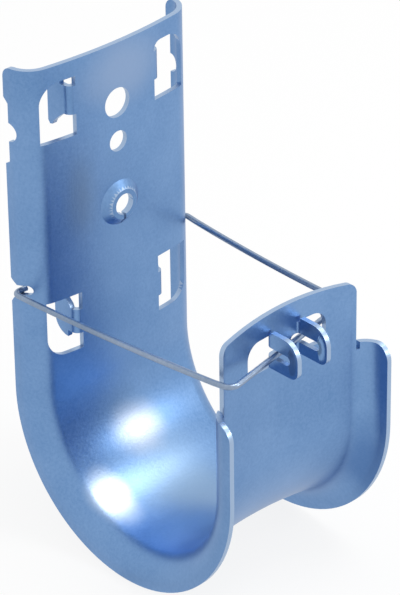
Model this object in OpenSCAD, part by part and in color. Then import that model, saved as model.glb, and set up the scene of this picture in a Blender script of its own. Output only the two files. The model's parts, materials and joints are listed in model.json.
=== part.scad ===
// Cable support hook: one pressed and folded steel sheet with a round-bottomed trough,
// a mounting plate behind it and a lip in front, and a sprung wire bail that closes the top.
// Millimetres. +X runs along the cables, -Y is the lip side, +Z is up.
// The origin is the centre of the main screw hole, on the front face of the plate.

// Sub-part to build

/* [Sheet] */
// Thickness of the steel sheet
sheet_thickness = 1.25; // [0.8:0.05:1.6]
// Width over both side flanges
hook_width = 50; // [46:0.5:70]
// Depth of the flanges behind the middle of the plate
flange_depth = 9.6; // [9:0.1:13]
// Radius of the rolled side flanges, on their outside
flange_radius = 6.5; // [4:0.1:7.5]
// Radius of the slight arch across the sheet
arch_radius = 130; // [100:1:300]
// Radius on the free ends of the flanges at the lip
flange_end_radius = 4; // [1:0.1:4.5]
// Radius on the free ends of the flanges at the top
flange_top_radius = 2.6; // [0.5:0.1:4]

/* [Trough and plate] */
// Radius of the trough, along its middle
trough_radius = 26.2; // [18:0.1:50]
// Height of the plate's top edge above the trough's centre
plate_height = 82.7; // [80.5:0.1:120]
// Height of the flange ends at the lip above the trough's centre
lip_flange_height = 20.6; // [8:0.1:22]

/* [Holes] */
// Height of the main screw hole above the trough's centre
main_hole_height = 67.9; // [65:0.1:71]
// Diameter of the main screw hole
main_hole_d = 7.3; // [5:0.1:9]
// Distance from the main hole down to the small hole
small_hole_drop = 9.7; // [8.5:0.1:12]
// Diameter of the small hole
small_hole_d = 5.1; // [3:0.1:6]
// Distance from the main hole down to the thread impression
impression_drop = 25.3; // [21:0.1:30]
// Outside diameter of the raised thread impression
impression_d = 11.6; // [10.5:0.1:14]
// Diameter of the opening in the thread impression
impression_bore_d = 5.2; // [4.5:0.1:6]
// Height that the impression rises from the front face
impression_rise = 1.6; // [0.8:0.1:2.2]

/* [Plate windows] */
// Distance from the middle to the inner edge of each window
window_inner = 11.75; // [10.5:0.05:13]
// Width of each window
window_width = 9.5; // [7:0.1:10.5]
// Height of each window
window_height = 14.6; // [13.6:0.1:16]
// Height of the upper windows' straight edge above the trough's centre
upper_window_height = 64; // [62:0.1:65.5]
// Height of the lower windows' straight edge above the trough's centre
lower_window_height = 23.4; // [21:0.1:24.4]
// Corner radius of each window
window_radius = 5; // [2:0.1:6]
// Corner radius at the top of the right upper window
odd_corner_radius = 2.2; // [0.5:0.1:3]
// Reach of the window tabs behind the front face
tab_reach = 7.9; // [7.6:0.1:9]

/* [Flange cut-outs] */
// Height of the recess in each flange
recess_height = 16.2; // [12:0.1:20]
// Depth of the recess in each flange
recess_depth = 1.35; // [0.6:0.05:2]
// Diameter of the round notch inside the recess
side_notch_d = 4.6; // [3:0.1:6]
// Height of the wire notches above the trough's centre
wire_notch_height = 27.1; // [26.5:0.1:29]

/* [Lip] */
// Width of the tongue
tongue_width = 40.8; // [34:0.1:41]
// Height of the tongue's top edge above the trough's centre
tongue_height = 37.9; // [36.5:0.1:44]
// Radius of the tongue's top edge
tongue_top_radius = 105; // [70:1:300]
// Radius of the tongue's top corners
tongue_corner_radius = 2.6; // [1:0.1:5]
// Width over the two ears on the web between the lip windows
web_width = 10.2; // [9.6:0.1:12]
// Width of each lip window
lip_window_width = 6.9; // [6:0.1:8]
// Height of the lip windows' lower edge above the trough's centre
lip_window_base = 24.3; // [23.5:0.1:25]
// Height of each lip window
lip_window_height = 8.1; // [7:0.1:9]
// Reach of the ears in front of the lip
ear_reach = 9; // [7.5:0.1:11]
// Height of each ear
ear_height = 9; // [8:0.1:10]
// Height of the slot in each ear
ear_slot_height = 2.4; // [2:0.1:3.2]

/* [Wire retainer] */
// Diameter of the wire
wire_d = 1.4; // [1:0.05:1.5]
// Inside radius of the wire's corner bends
wire_bend = 1.5; // [1:0.1:2.4]
// Gap between the front corners of the bail and the sides of the tongue
corner_gap = 1.0; // [0.8:0.1:2]
// Gap between each wire leg and the flange that it passes
leg_gap = 0.6; // [0.5:0.05:1.2]
// Sag of the legs at their middle
leg_sag = 0.7; // [0.3:0.1:1.5]

/* [Hidden] */
$fn = 96;
e = 0.5;
far = 90;
// The rolled flanges lap the arch a little and lie a hair behind its face
lap_angle = 1;
lap_step = 0.01;
half = hook_width / 2;
wire_r = wire_d / 2;
bend_out = sheet_thickness + 0.7;
arc_span = asin((half - flange_radius) / (arch_radius - flange_radius));
flare_x = (arch_radius - flange_radius) * sin(arc_span);
flare_y = arch_radius - (arch_radius - flange_radius) * cos(arc_span);
lip_back = -2 * trough_radius;
lip_front = lip_back - sheet_thickness;
lip_edge = lip_back - flange_depth;
recess_mid = main_hole_height - 1.3;
web_half = web_width / 2;
web_flat = web_half - bend_out;
tongue_half = tongue_width / 2;
slot_mid = lip_window_base + 4.0;
slot_tip = ear_reach - 3.6;
slot_inner = 1.6;

// How far the arch has moved back at x
function arch_y(x) = arch_radius - sqrt(arch_radius * arch_radius - x * x);

// --- Helpers ---

module both_sides() {
    children();
    mirror([1, 0, 0]) children();
}

// Prism across the hook from a drawing of y and z, between x = a and x = b
module across(a, b) {
    translate([a, 0, 0]) rotate([90, 0, 90]) linear_extrude(b - a) children();
}

// Block through the sheet about the plane y, from corner a to corner b of x and z
module block(y, a, b) {
    translate([a[0], y - 14, a[1]]) cube([b[0] - a[0], 28, b[1] - a[1]]);
}

// Peg through the sheet about the plane y, at the point c of x and z
module peg(y, c, r) {
    translate([c[0], y + 14, c[1]]) rotate([90, 0, 0]) cylinder(h = 28, r = r);
}

// What a rounding of radius r takes off the corner c of x and z; sx and sz point outward
module round_off(y, c, r, sx, sz) {
    low = [sx > 0 ? c[0] - r : c[0] - e, sz > 0 ? c[1] - r : c[1] - e];
    difference() {
        block(y, low, low + [r + e, r + e]);
        peg(y, c - [sx * r, sz * r], r);
    }
}

// The same for the corner c of y and z, across the hook
module round_off_across(c, r, sy, sz) {
    low = [sy > 0 ? c[0] - r : c[0] - e, sz > 0 ? c[1] - r : c[1] - e];
    difference() {
        translate([-far, low[0], low[1]]) cube([2 * far, r + e, r + e]);
        translate([-far - e, c[0] - sy * r, c[1] - sz * r]) rotate([0, 90, 0])
            cylinder(h = 2 * far + 2 * e, r = r);
    }
}

// --- Section of the sheet ---

// Ring of the sheet's thickness, between the angles a and b
module ring(r, a, b) {
    intersection() {
        difference() {
            circle(r);
            circle(r - sheet_thickness);
        }
        polygon([
            [0, 0],
            2 * r * [cos(a), sin(a)],
            2 * r * [cos((a + b) / 2), sin((a + b) / 2)],
            2 * r * [cos(b), sin(b)]
        ]);
    }
}

// x runs across the hook, y backward from the middle of the front face
module section() {
    translate([0, arch_radius]) ring(arch_radius, -90 - arc_span, -90 + arc_span);
    both_sides() {
        translate([flare_x, flare_y + lap_step])
            ring(flange_radius, -90 + arc_span - lap_angle, 0);
        translate([half - sheet_thickness, flare_y])
            square([sheet_thickness, flange_depth - flare_y]);
    }
}

// --- Plate ---

// Window on the +x side: its straight edge at height z, the rest of it up or down from there
module window(z, up) {
    a = [window_inner, up > 0 ? z : z - window_height];
    difference() {
        block(5, a, a + [window_width, window_height]);
        round_off(5, [window_inner + window_width, z + up * window_height], window_radius, 1, up);
    }
}

// Tab on the +x side, bent back from the inner edge of its window.
// It spans the heights low to high at its root and reaches up to top behind.
module tab(low, high, top, lean) {
    face = window_inner + bend_out;
    start = arch_y(window_inner) + bend_out;
    difference() {
        across(face - sheet_thickness, face) polygon([
            [start, low],
            [3.7 - lean, low - 0.8],
            [6.0 - lean, low - 3],
            [tab_reach - 1.4, 1.2],
            [tab_reach - 0.6, 1],
            [tab_reach, 1.8],
            [tab_reach, top],
            [3.6, top],
            [3.6, high],
            [start, high]
        ]);
        round_off_across([tab_reach, top], window_radius - 0.7, 1, 1);
    }
    translate([window_inner, start, low]) rotate([0, 0, -90]) rotate_extrude(angle = 90)
        translate([bend_out - sheet_thickness, 0]) square([sheet_thickness, high - low]);
}

module plate_tabs() {
    both_sides() {
        translate([0, 0, upper_window_height]) tab(5.2, 12.3, 13.9, 0);
        translate([0, 0, lower_window_height]) mirror([0, 0, 1]) tab(4.4, 10.6, 12.2, 0.9);
    }
}

module plate_cuts() {
    peg(5, [0, main_hole_height], main_hole_d / 2);
    peg(5, [0, main_hole_height - small_hole_drop], small_hole_d / 2);
    difference() {
        window(upper_window_height, 1);
        round_off(5, [window_inner, upper_window_height + window_height],
            odd_corner_radius, -1, 1);
    }
    mirror([1, 0, 0]) window(upper_window_height, 1);
    both_sides() window(lower_window_height, -1);
    round_off_across([flange_depth, plate_height], flange_top_radius, 1, 1);
    across(-far, far) translate([flange_depth - recess_depth, recess_mid]) {
        polygon([
            [0, recess_height / 2 - 1],
            [recess_depth + e, recess_height / 2 + 0.8],
            [recess_depth + e, -recess_height / 2 - 0.4],
            [0, -recess_height / 2 + 0.6]
        ]);
        circle(d = side_notch_d);
    }
}

// Open notch in both flanges for the end of the wire
module wire_notches() {
    across(-far, far) translate([flange_depth, wire_notch_height]) {
        translate([-4.7, 0]) circle(1.2);
        polygon([
            [-4.7, 1.2],
            [-1.9, 0.6],
            [-0.5, 1.4],
            [e, 2.4],
            [e, -5],
            [-0.7, -3.2],
            [-2.2, -1.6],
            [-4.7, -1.2]
        ]);
    }
}

// --- Thread impression ---

module impression_solid() {
    rotate([90, 0, 0]) translate([0, 0, -0.2])
        cylinder(h = impression_rise + 0.2, d1 = impression_d, d2 = impression_bore_d + 2.2);
}

module impression_cut() {
    rotate([90, 0, 0]) translate([0, 0, -sheet_thickness - e])
        cylinder(h = sheet_thickness + e, d1 = impression_d - 2, d2 = impression_d - 3.6);
    rotate([90, 0, 0]) cylinder(h = 20, d = impression_bore_d, center = true);
    translate([-0.35, -10, -impression_d / 2 + 0.2]) cube([0.7, 20, impression_d / 2]);
}

// --- Lip ---

module tongue_cuts() {
    r = tongue_corner_radius;
    low = tongue_height - tongue_top_radius;
    reach = tongue_top_radius - r;
    cx = tongue_half - r;
    cz = low + sqrt(reach * reach - cx * cx);
    both_sides() {
        block(lip_back, [tongue_half, lip_flange_height], [far, far]);
        block(lip_back, [tongue_half, lip_flange_height - 1.8],
            [tongue_half + 0.8, lip_flange_height + 0.2]);
        difference() {
            translate([cx, lip_back + 14, cz]) rotate([90, 0, 0]) linear_extrude(28) polygon([
                [0, 0],
                [far, 0],
                [far, far],
                far * [cx, cz - low] / reach
            ]);
            peg(lip_back, [cx, cz], r);
        }
    }
    difference() {
        block(lip_back, [-far / 2, tongue_height - 8], [far / 2, far]);
        peg(lip_back, [0, low], tongue_top_radius, $fn = 360);
    }
}

module lip_window() {
    a = [web_flat, lip_window_base];
    b = [web_half + lip_window_width, lip_window_base + lip_window_height];
    difference() {
        block(lip_back, a, b);
        round_off(lip_back, b, 3.7, 1, 1);
    }
    slot_r = ear_slot_height / 2;
    peg(lip_back, [slot_inner + slot_r, slot_mid], slot_r);
    block(lip_back, [slot_inner + slot_r, slot_mid - slot_r], [web_half, slot_mid + slot_r]);
}

module lip_cuts() {
    tongue_cuts();
    both_sides() lip_window();
    round_off_across([lip_edge, lip_flange_height], flange_end_radius, -1, 1);
}

module ear_slot() {
    r = ear_slot_height / 2;
    z = slot_mid - lip_window_base;
    translate([0, -slot_tip, z - r]) cube([far, 6 + slot_tip, 2 * r]);
    translate([0, -slot_tip, z]) rotate([0, 90, 0]) cylinder(h = far, r = r);
}

// One ear on the +x side, bent forward from the edge of the web
module ear() {
    translate([0, lip_front - arch_y(web_flat), lip_window_base]) difference() {
        union() {
            difference() {
                translate([web_half - sheet_thickness, -ear_reach, 0])
                    cube([sheet_thickness, ear_reach - 0.7, ear_height]);
                round_off_across([-ear_reach, ear_height], 4.5, -1, 1);
                round_off_across([-ear_reach, 0], 2.2, -1, -1);
            }
            translate([web_flat, -0.7, 0]) rotate_extrude(angle = 90)
                translate([bend_out - sheet_thickness, 0])
                    square([sheet_thickness, lip_window_height]);
        }
        ear_slot();
    }
}

// --- Body ---

// A section run down the plate, round the trough and up the lip
module run() {
    linear_extrude(plate_height) children();
    translate([0, -trough_radius, 0])
        multmatrix([[0, 0, -1, 0], [1, 0, 0, 0], [0, -1, 0, 0], [0, 0, 0, 1]])
            rotate_extrude(angle = 180) translate([trough_radius, 0]) rotate(-90) children();
    translate([0, lip_back, 0]) mirror([0, 1, 0]) linear_extrude(tongue_height) children();
}

module all_cuts() {
    plate_cuts();
    wire_notches();
    lip_cuts();
}

module hook_body() {
    color([0.66, 0.69, 0.72]) translate([0, 0, -main_hole_height]) {
        difference() {
            union() {
                run() section();
                translate([0, 0, main_hole_height - impression_drop]) impression_solid();
            }
            all_cuts();
            translate([0, 0, main_hole_height - impression_drop]) impression_cut();
        }
        plate_tabs();
        both_sides() ear();
    }
}

// --- Wire retainer ---

bar_slope = 0.223;
bar_y = lip_front - 1.12;
front_x = tongue_half + corner_gap + wire_r;
back_x = half + leg_gap + wire_r;
back_y = flange_depth - 1.9;
back_z = wire_notch_height - 1;
bar_z = slot_mid;

function bar_point(x) = [x, bar_y + bar_slope * x, bar_z - 0.012 * x];
function middle(a, b) = (a + b) / 2 - [0, 0, leg_sag];

back_left = [-back_x, back_y, back_z];
back_right = [back_x, back_y, back_z];
wire_points = [
    back_left,
    middle(back_left, bar_point(-front_x)),
    bar_point(-front_x),
    bar_point(front_x),
    middle(back_right, bar_point(front_x)),
    back_right
];
wire_radii = [0, 300, wire_bend + wire_r, wire_bend + wire_r, 300, 0];

function unit(v) = v / norm(v);
function leg(i) = unit(wire_points[i + 1] - wire_points[i]);
function turn(i) = acos(leg(i - 1) * leg(i));
function setback(i) = wire_radii[i] == 0 ? 0 : wire_radii[i] * tan(turn(i) / 2);

module straight(i) {
    a = wire_points[i] + leg(i) * setback(i);
    b = wire_points[i + 1] - leg(i) * setback(i + 1);
    d = leg(i);
    translate(a) rotate([0, acos(d[2]), atan2(d[1], d[0])]) cylinder(h = norm(b - a), r = wire_r);
}

module bend(i) {
    d = leg(i - 1);
    n = unit(leg(i) - (leg(i) * d) * d);
    c = wire_points[i] - d * setback(i) + n * wire_radii[i];
    z = cross(-n, d);
    multmatrix([
        [-n[0], d[0], z[0], c[0]],
        [-n[1], d[1], z[1], c[1]],
        [-n[2], d[2], z[2], c[2]],
        [0, 0, 0, 1]
    ]) rotate_extrude(angle = turn(i)) translate([wire_radii[i], 0]) circle(wire_r);
}

// Seam between a straight and a bend, a hair thicker than the wire so that they join;
// it is turned so that its poles lie on neither
module seam(i, d, way) {
    translate(wire_points[i] + way * d * setback(i)) rotate([37, 53, 0]) sphere(wire_r + 0.03);
}

module retainer_wire() {
    color([0.58, 0.62, 0.66]) translate([0, 0, -main_hole_height]) {
        for (i = [0 : len(wire_points) - 2]) straight(i);
        for (i = [1 : len(wire_points) - 2]) {
            bend(i);
            seam(i, leg(i - 1), -1);
            seam(i, leg(i), 1);
        }
    }
}

hook_body();
retainer_wire();
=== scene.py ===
"""A galvanised steel cable hook with its wire retainer, on a pale studio floor."""
import json
import math

import bmesh
import bpy
from mathutils import Matrix, Vector
from mathutils.bvhtree import BVHTree


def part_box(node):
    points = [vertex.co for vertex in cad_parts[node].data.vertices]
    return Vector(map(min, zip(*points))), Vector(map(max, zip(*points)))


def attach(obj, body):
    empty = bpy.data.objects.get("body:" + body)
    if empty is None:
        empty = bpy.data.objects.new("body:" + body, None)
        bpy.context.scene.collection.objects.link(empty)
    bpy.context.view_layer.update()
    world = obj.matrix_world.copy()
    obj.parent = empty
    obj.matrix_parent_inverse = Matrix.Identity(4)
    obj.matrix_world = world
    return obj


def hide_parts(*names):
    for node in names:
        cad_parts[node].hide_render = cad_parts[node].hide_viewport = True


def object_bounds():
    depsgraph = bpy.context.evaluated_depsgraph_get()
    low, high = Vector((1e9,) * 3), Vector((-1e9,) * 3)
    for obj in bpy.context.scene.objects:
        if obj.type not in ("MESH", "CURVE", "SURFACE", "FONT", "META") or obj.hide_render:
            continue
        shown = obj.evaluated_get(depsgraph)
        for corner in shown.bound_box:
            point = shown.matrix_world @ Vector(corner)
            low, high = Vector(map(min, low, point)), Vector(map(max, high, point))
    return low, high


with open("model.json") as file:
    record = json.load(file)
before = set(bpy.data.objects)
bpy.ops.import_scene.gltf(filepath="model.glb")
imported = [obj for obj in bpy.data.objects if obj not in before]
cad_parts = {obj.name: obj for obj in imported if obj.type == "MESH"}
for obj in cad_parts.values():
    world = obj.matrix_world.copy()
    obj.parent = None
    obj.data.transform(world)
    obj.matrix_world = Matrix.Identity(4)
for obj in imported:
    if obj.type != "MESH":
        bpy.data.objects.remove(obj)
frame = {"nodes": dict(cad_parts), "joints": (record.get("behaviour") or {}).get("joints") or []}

CAD_BOX = [list(corner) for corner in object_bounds()]
MM = 0.001

# Sizes that the new pieces share with the frame, in metres
SHEET = 1.25 * MM
WIRE_RADIUS = 0.7 * MM
BEND_RADIUS = 2.2 * MM
TIP_RADIUS = 1.5 * MM
TIP_LENGTH = 3.6 * MM
LEG_SAG = 0.7 * MM
# The section of the sheet: its arch and the centre of its rolled sides
TROUGH_DROP = 67.9 * MM
TROUGH_RADIUS = 26.2 * MM
ARCH_RADIUS = 130 * MM
ROLL_X = 18.5 * MM
ROLL_Y = 7.894 * MM


# --- Materials ---

def node(tree, kind, x=0, y=0, **settings):
    made = tree.nodes.new(kind)
    made.location = (x, y)
    for name, value in settings.items():
        setattr(made, name, value)
    return made


def build_zinc_grain():
    """Fine crystal grain and soft cloudy patches of hot-dip zinc, from Object coordinates."""
    group = bpy.data.node_groups.new("zinc_grain", "ShaderNodeTree")
    face = group.interface
    face.new_socket("Grain Scale", in_out="INPUT", socket_type="NodeSocketFloat").default_value = 1500
    face.new_socket("Cloud Scale", in_out="INPUT", socket_type="NodeSocketFloat").default_value = 60
    face.new_socket("Streak", in_out="INPUT", socket_type="NodeSocketFloat").default_value = 0.3
    face.new_socket("Grain", in_out="OUTPUT", socket_type="NodeSocketFloat")
    face.new_socket("Cloud", in_out="OUTPUT", socket_type="NodeSocketFloat")
    face.new_socket("Streaks", in_out="OUTPUT", socket_type="NodeSocketFloat")
    start = node(group, "NodeGroupInput", -900)
    end = node(group, "NodeGroupOutput", 500)
    coords = node(group, "ShaderNodeTexCoord", -900, -300)
    grain = node(group, "ShaderNodeTexNoise", -300, 200)
    grain.inputs["Detail"].default_value = 3
    grain.inputs["Roughness"].default_value = 0.6
    cloud = node(group, "ShaderNodeTexNoise", -300, -100)
    cloud.inputs["Detail"].default_value = 4
    stretch = node(group, "ShaderNodeMapping", -600, -400)
    stretch.inputs["Scale"].default_value = (1, 1, 0.04)
    streaks = node(group, "ShaderNodeTexNoise", -300, -400)
    streaks.inputs["Scale"].default_value = 1400
    streaks.inputs["Detail"].default_value = 2
    scaled = node(group, "ShaderNodeMath", 100, -400, operation="MULTIPLY")
    link = group.links.new
    link(coords.outputs["Object"], grain.inputs["Vector"])
    link(coords.outputs["Object"], cloud.inputs["Vector"])
    link(coords.outputs["Object"], stretch.inputs["Vector"])
    link(stretch.outputs["Vector"], streaks.inputs["Vector"])
    link(start.outputs["Grain Scale"], grain.inputs["Scale"])
    link(start.outputs["Cloud Scale"], cloud.inputs["Scale"])
    link(streaks.outputs["Fac"], scaled.inputs[0])
    link(start.outputs["Streak"], scaled.inputs[1])
    link(grain.outputs["Fac"], end.inputs["Grain"])
    link(cloud.outputs["Fac"], end.inputs["Cloud"])
    link(scaled.outputs["Value"], end.inputs["Streaks"])
    return group


ZINC_GRAIN = build_zinc_grain()


def patch_mask(tree, cloud, centre, radii):
    """Soft-edged patch about a point, with a ragged border from the clouds."""
    link = tree.links.new
    coords = node(tree, "ShaderNodeTexCoord", -1500, 600)
    place = node(tree, "ShaderNodeMapping", -1300, 600, vector_type="TEXTURE")
    place.inputs["Location"].default_value = [value * MM for value in centre]
    place.inputs["Scale"].default_value = [value * MM for value in radii]
    reach = node(tree, "ShaderNodeVectorMath", -1100, 600, operation="LENGTH")
    ragged = node(tree, "ShaderNodeMath", -900, 600, operation="MULTIPLY_ADD")
    ragged.inputs[1].default_value = 0.9
    soft = node(tree, "ShaderNodeMapRange", -700, 600, interpolation_type="SMOOTHSTEP")
    soft.inputs["From Min"].default_value = 1.5
    soft.inputs["From Max"].default_value = 0.6
    link(coords.outputs["Object"], place.inputs["Vector"])
    link(place.outputs["Vector"], reach.inputs[0])
    link(cloud, ragged.inputs[0])
    link(reach.outputs["Value"], ragged.inputs[2])
    link(ragged.outputs["Value"], soft.inputs["Value"])
    return soft.outputs["Result"]


def zinc(name, dark, light, roughness, grain_depth, streak, edge_highlight=None, patches=()):
    """Zinc-coated steel. Its colour wanders between dark and light, with patches of painted highlight
    and painted shade, and cut edges are lighter as a painted highlight.
    """
    material = bpy.data.materials.new(name)
    material.use_nodes = True
    tree = material.node_tree
    link = tree.links.new
    shader = tree.nodes["Principled BSDF"]
    shader.inputs["Metallic"].default_value = 1.0
    effect = node(tree, "ShaderNodeGroup", -900, 0, node_tree=ZINC_GRAIN)
    effect.inputs["Grain Scale"].default_value = 1500
    effect.inputs["Cloud Scale"].default_value = 45
    effect.inputs["Streak"].default_value = streak
    tint = node(tree, "ShaderNodeValToRGB", -600, 200)
    tint.color_ramp.elements[0].position = 0.3
    tint.color_ramp.elements[0].color = (*dark, 1)
    tint.color_ramp.elements[1].position = 0.7
    tint.color_ramp.elements[1].color = (*light, 1)
    mixed = node(tree, "ShaderNodeMath", -750, 200, operation="MULTIPLY_ADD")
    mixed.inputs[1].default_value = 0.45
    half = node(tree, "ShaderNodeMath", -750, 0, operation="MULTIPLY")
    half.inputs[1].default_value = 0.55
    link(effect.outputs["Cloud"], half.inputs[0])
    link(effect.outputs["Grain"], mixed.inputs[0])
    link(half.outputs["Value"], mixed.inputs[2])
    link(mixed.outputs["Value"], tint.inputs["Fac"])
    gloss = node(tree, "ShaderNodeMapRange", -600, -100)
    gloss.inputs["To Min"].default_value = roughness - 0.06
    gloss.inputs["To Max"].default_value = roughness + 0.08
    link(effect.outputs["Grain"], gloss.inputs["Value"])
    height = node(tree, "ShaderNodeMath", -600, -350, operation="ADD")
    link(effect.outputs["Grain"], height.inputs[0])
    link(effect.outputs["Streaks"], height.inputs[1])
    bump = node(tree, "ShaderNodeBump", -300, -300)
    bump.inputs["Strength"].default_value = 0.5
    bump.inputs["Distance"].default_value = grain_depth
    link(height.outputs["Value"], bump.inputs["Height"])
    link(bump.outputs["Normal"], shader.inputs["Normal"])
    colour = tint.outputs["Color"]
    # Patches of painted highlight, reflection and shade, mixed over the zinc colour
    for centre, radii, strength, shade in patches:
        amount = node(tree, "ShaderNodeMath", -450, 600, operation="MULTIPLY")
        amount.inputs[1].default_value = strength
        link(patch_mask(tree, effect.outputs["Cloud"], centre, radii), amount.inputs[0])
        over = node(tree, "ShaderNodeMix", -300, 600, data_type="RGBA")
        over.inputs["B"].default_value = (*shade, 1)
        link(amount.outputs["Value"], over.inputs["Factor"])
        link(colour, over.inputs["A"])
        colour = over.outputs["Result"]
    # Cut edges take a lighter colour, a painted highlight
    if edge_highlight:
        mask = node(tree, "ShaderNodeAttribute", -600, 450, attribute_name="cut_edge")
        bright = node(tree, "ShaderNodeMix", -300, 300, data_type="RGBA")
        bright.inputs["B"].default_value = (*edge_highlight, 1)
        link(mask.outputs["Fac"], bright.inputs["Factor"])
        link(colour, bright.inputs["A"])
        colour = bright.outputs["Result"]
    link(colour, shader.inputs["Base Color"])
    link(gloss.outputs["Result"], shader.inputs["Roughness"])
    return material


# Patches of painted highlight, painted reflection and painted shade, lighter and darker zinc colour
# where light and shade fall: centre and radii in mm, strength, colour
PAINTED_LIGHT_AND_SHADE = (
    ((0, -26, -90), (21, 25, 14), 0.75, (0.33, 0.47, 0.63)),
    ((-4, -6, -76), (14, 7, 8), 0.45, (0.16, 0.22, 0.26)),
    ((-1, -5, -83), (9, 9, 8), 0.75, (0.52, 0.56, 0.62)),
    ((-16.5, -13.6, -92), (6, 11, 8), 0.85, (0.68, 0.76, 0.84)),
    ((-11, 1, -20), (7, 7, 17), 0.6, (0.20, 0.29, 0.42)),
    ((2, 0, 8), (15, 7, 12), 0.7, (0.31, 0.42, 0.62)),
    ((23, -58, -80), (6, 14, 16), 0.6, (0.06, 0.15, 0.37)),
    ((0, -52, -96), (23, 9, 10), 0.6, (0.07, 0.16, 0.38)),
)
# The cut edges' lighter colour is a painted highlight
SHEET_ZINC = zinc("galvanised_sheet", (0.13, 0.26, 0.50), (0.22, 0.37, 0.63), 0.36,
                  0.05 * MM, 0.35, edge_highlight=(0.36, 0.48, 0.66), patches=PAINTED_LIGHT_AND_SHADE)
WIRE_ZINC = zinc("spring_wire", (0.20, 0.27, 0.38), (0.34, 0.42, 0.55), 0.33, 0.02 * MM, 0.1)


# --- The folded sheet: the frame's solid, shaded by its true section ---

def front_normal(point):
    """Normal of the sheet's front face beside a point, from the section that runs along the hook."""
    height = point.z + TROUGH_DROP
    if height < 0:
        back = Vector((0, point.y + TROUGH_RADIUS, height))
        depth = back.length - TROUGH_RADIUS
        back.normalize()
    elif point.y > -TROUGH_RADIUS:
        back, depth = Vector((0, 1, 0)), point.y
    else:
        back, depth = Vector((0, -1, 0)), -2 * TROUGH_RADIUS - point.y
    side = math.copysign(1, point.x)
    across, ahead = abs(point.x) - ROLL_X, depth - ROLL_Y
    if ahead < 0 and across < -ahead * ROLL_X / (ARCH_RADIUS - ROLL_Y):
        section = Vector((abs(point.x), depth - ARCH_RADIUS))
    elif ahead < 0:
        section = Vector((across, ahead))
    else:
        section = Vector((1, 0))
    section.normalize()
    return Vector((side * section.x, 0, 0)) + back * section.y


def face_kinds(mesh):
    """For each face, its sign against the sheet's front, or 0 for a cut or folded face."""
    kinds = []
    for face in mesh.polygons:
        along = face.normal.dot(front_normal(face.center))
        kinds.append(math.copysign(1, along) if abs(along) > 0.97 else 0)
    return kinds


def set_true_normals(mesh, kinds):
    """Shade the sheet by its true section, and cut and folded faces smoothly with their like."""
    around = [[] for vertex in mesh.vertices]
    for face in mesh.polygons:
        face.use_smooth = True
        for vertex in face.vertices:
            around[vertex].append(face)
    normals = []
    for face in mesh.polygons:
        kind = kinds[face.index]
        for vertex in face.vertices:
            if kind:
                normals.append(kind * front_normal(mesh.vertices[vertex].co))
                continue
            total = Vector()
            for near in around[vertex]:
                if near.normal.dot(face.normal) > 0.85:
                    total += near.normal * near.area
            normals.append(total.normalized() if total.length else face.normal.copy())
    mesh.normals_split_custom_set(normals)


def mark_cut_edges(mesh, kinds):
    """Face attribute cut_edge: 1 where a face isn't a side of the sheet, nor of a tab or ear."""
    shape = bmesh.new()
    shape.from_mesh(mesh)
    tree = BVHTree.FromBMesh(shape)
    values = []
    for face, kind in zip(shape.faces, kinds):
        start = face.calc_center_median() - face.normal * 0.02 * MM
        hit = tree.ray_cast(start, -face.normal, 4 * SHEET)
        thick = hit[3] if hit[0] is not None else 4 * SHEET
        values.append(1.0 if not kind and thick > 1.35 * SHEET else 0.0)
    shape.free()
    layer = mesh.attributes.new("cut_edge", "FLOAT", "FACE")
    layer.data.foreach_set("value", values)


def folded_sheet():
    """The frame's own solid, merged and shaded by the true section of the sheet."""
    shape = bmesh.new()
    shape.from_mesh(frame["nodes"]["hook_body"].data)
    bmesh.ops.remove_doubles(shape, verts=shape.verts, dist=0.001 * MM)
    mesh = bpy.data.meshes.new("folded_sheet")
    shape.to_mesh(mesh)
    shape.free()
    mesh.materials.append(SHEET_ZINC)
    piece = bpy.data.objects.new("folded_sheet", mesh)
    bpy.context.scene.collection.objects.link(piece)
    kinds = face_kinds(mesh)
    mark_cut_edges(mesh, kinds)
    set_true_normals(mesh, kinds)
    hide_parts("hook_body")
    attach(piece, "hook")
    return piece


# --- The wire retainer ---

def corner_arc(before, corner, after, radius, steps=10):
    """Points of a round bend of the given radius at corner."""
    a = (before - corner).normalized()
    b = (after - corner).normalized()
    half = a.angle(b) / 2
    back = radius / math.tan(half)
    centre = corner + (a + b).normalized() * radius / math.sin(half)
    first = corner + a * back - centre
    last = corner + b * back - centre
    turn = first.angle(last)
    axis = first.cross(last).normalized()
    return [centre + Matrix.Rotation(turn * i / steps, 3, axis) @ first for i in range(steps + 1)]


def wire_route():
    """Centre line of the wire: tip, leg, front bar, leg and tip."""
    joint = frame["joints"][0]
    pivot = Vector(joint["pos_m"])
    axis = Vector(joint["axis"]).normalized()
    low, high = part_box("retainer_wire")
    side = high.x - WIRE_RADIUS
    back = high.y - WIRE_RADIUS * 0.4
    rear_z = pivot.z - 2.2 * MM
    front = 22.1 * MM / axis.x
    rear = [Vector((way * side, back, rear_z)) for way in (-1, 1)]
    corner = [pivot + axis * front * way for way in (-1, 1)]
    inward = [Vector((side - TIP_LENGTH, 0, 0)), None]
    tips = [Vector((way * (side - TIP_LENGTH), back - 0.4 * MM, rear_z + 0.2 * MM)) for way in (-1, 1)]
    points = [tips[0]]
    points += corner_arc(tips[0], rear[0], corner[0], TIP_RADIUS)
    points += leg(rear[0], corner[0])
    points += corner_arc(rear[0], corner[0], corner[1], BEND_RADIUS)
    points += corner_arc(corner[0], corner[1], rear[1], BEND_RADIUS)
    points += leg(corner[1], rear[1])
    points += corner_arc(corner[1], rear[1], tips[1], TIP_RADIUS)
    points.append(tips[1])
    return points


def leg(start, end, steps=16):
    """Inner points of a leg that sags a little between its ends."""
    shares = [0.08 + 0.84 * i / steps for i in range(steps + 1)]
    return [start.lerp(end, t) - Vector((0, 0, LEG_SAG * 4 * t * (1 - t))) for t in shares]


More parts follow.
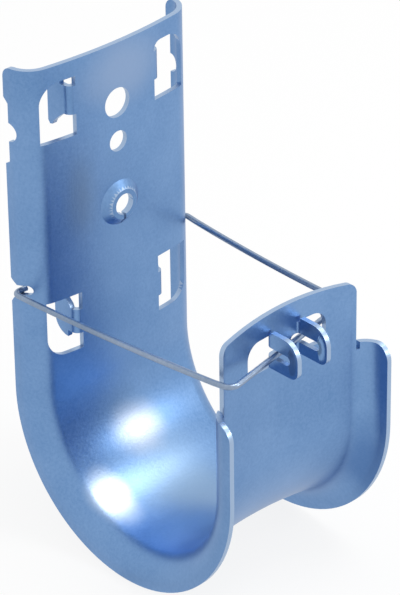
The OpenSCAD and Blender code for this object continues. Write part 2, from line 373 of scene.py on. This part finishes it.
def retainer_wire():
    route = wire_route()
    line = bpy.data.curves.new("bail", "CURVE")
    line.dimensions = "3D"
    line.bevel_depth = WIRE_RADIUS
    line.bevel_resolution = 6
    line.use_fill_caps = True
    spline = line.splines.new("POLY")
    spline.points.add(len(route) - 1)
    for place, point in zip(spline.points, route):
        place.co = (*point, 1)
    spline.use_smooth = True
    line.materials.append(WIRE_ZINC)
    piece = bpy.data.objects.new("bail", line)
    bpy.context.scene.collection.objects.link(piece)
    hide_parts("retainer_wire")
    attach(piece, "retainer")
    return piece


# --- Studio ---

def studio_floor():
    low, high = (Vector(corner) for corner in CAD_BOX)
    shape = bmesh.new()
    bmesh.ops.create_grid(shape, x_segments=1, y_segments=1, size=3)
    bmesh.ops.translate(shape, verts=shape.verts, vec=(0, 0, low.z - 0.0005))
    mesh = bpy.data.meshes.new("floor")
    shape.to_mesh(mesh)
    shape.free()
    material = bpy.data.materials.new("pale_floor")
    material.use_nodes = True
    tree = material.node_tree
    tree.nodes.clear()
    link = tree.links.new
    paint = node(tree, "ShaderNodeBsdfDiffuse", -300, 100)
    paint.inputs["Color"].default_value = (0.9, 0.9, 0.9, 1)
    glow = node(tree, "ShaderNodeEmission", -300, -100)
    path = node(tree, "ShaderNodeLightPath", -900, 300)
    seen = node(tree, "ShaderNodeMath", -700, 300, operation="MAXIMUM")
    share = node(tree, "ShaderNodeMath", -500, 300, operation="MULTIPLY")
    share.inputs[1].default_value = 0.85
    mix = node(tree, "ShaderNodeMixShader", -100, 0)
    out = node(tree, "ShaderNodeOutputMaterial", 100, 0)
    link(path.outputs["Is Camera Ray"], seen.inputs[0])
    link(path.outputs["Is Glossy Ray"], seen.inputs[1])
    link(seen.outputs["Value"], share.inputs[0])
    link(share.outputs["Value"], mix.inputs["Fac"])
    link(paint.outputs["BSDF"], mix.inputs[1])
    link(glow.outputs["Emission"], mix.inputs[2])
    link(mix.outputs["Shader"], out.inputs["Surface"])
    mesh.materials.append(material)
    floor = bpy.data.objects.new("floor", mesh)
    bpy.context.scene.collection.objects.link(floor)


def white_world():
    """White where the camera, metal and glass look; a softer level for the light that it gives."""
    world = bpy.data.worlds.new("studio")
    bpy.context.scene.world = world
    world.use_nodes = True
    tree = world.node_tree
    link = tree.links.new
    background = tree.nodes["Background"]
    path = node(tree, "ShaderNodeLightPath", -900)
    seen = node(tree, "ShaderNodeMath", -700, operation="MAXIMUM")
    clear = node(tree, "ShaderNodeMath", -500, operation="MAXIMUM")
    level = node(tree, "ShaderNodeMapRange", -300)
    level.inputs["To Min"].default_value = 0.8
    level.inputs["To Max"].default_value = 1.0
    link(path.outputs["Is Camera Ray"], seen.inputs[0])
    link(path.outputs["Is Glossy Ray"], seen.inputs[1])
    link(seen.outputs["Value"], clear.inputs[0])
    link(path.outputs["Is Transmission Ray"], clear.inputs[1])
    link(clear.outputs["Value"], level.inputs["Value"])
    link(level.outputs["Result"], background.inputs["Strength"])
    background.inputs["Color"].default_value = (1, 1, 1, 1)


def soft_lamp(name, place, target, size, power):
    lamp = bpy.data.lights.new(name, "AREA")
    lamp.size = size
    lamp.energy = power
    holder = bpy.data.objects.new(name, lamp)
    holder.location = place
    holder.rotation_euler = (Vector(target) - Vector(place)).to_track_quat("-Z", "Y").to_euler()
    bpy.context.scene.collection.objects.link(holder)


def camera():
    """Looks down on the hook from the front left, with a long lens."""
    azimuth, height, roll = math.radians(42.8), math.radians(30.54), math.radians(0.8)
    target = Vector((18.16, -6.64, -55.25)) * MM
    away = Vector((-math.sin(azimuth) * math.cos(height),
                   -math.cos(azimuth) * math.cos(height), math.sin(height)))
    right = Vector((math.cos(azimuth), -math.sin(azimuth), 0))
    up = away.cross(right)
    right, up = (right * math.cos(roll) - up * math.sin(roll),
                 right * math.sin(roll) + up * math.cos(roll))
    lens = bpy.data.cameras.new("camera")
    lens.sensor_fit = "VERTICAL"
    lens.sensor_height = 24
    lens.lens = 151.8
    lens.clip_start = 0.01
    holder = bpy.data.objects.new("camera", lens)
    turn = Matrix((right, up, away)).transposed().to_4x4()
    holder.matrix_world = Matrix.Translation(target + away * 0.875) @ turn
    bpy.context.scene.collection.objects.link(holder)
    bpy.context.scene.camera = holder


folded_sheet()
retainer_wire()
studio_floor()
white_world()
camera()
centre = (Vector(CAD_BOX[0]) + Vector(CAD_BOX[1])) / 2
soft_lamp("overhead", centre + Vector((0.25, -0.15, 0.65)), centre, 0.3, 1.6)
soft_lamp("front_right", centre + Vector((0.42, -0.56, 0.31)), centre, 0.22, 1.0)
bpy.context.scene.view_settings.view_transform = "Standard"
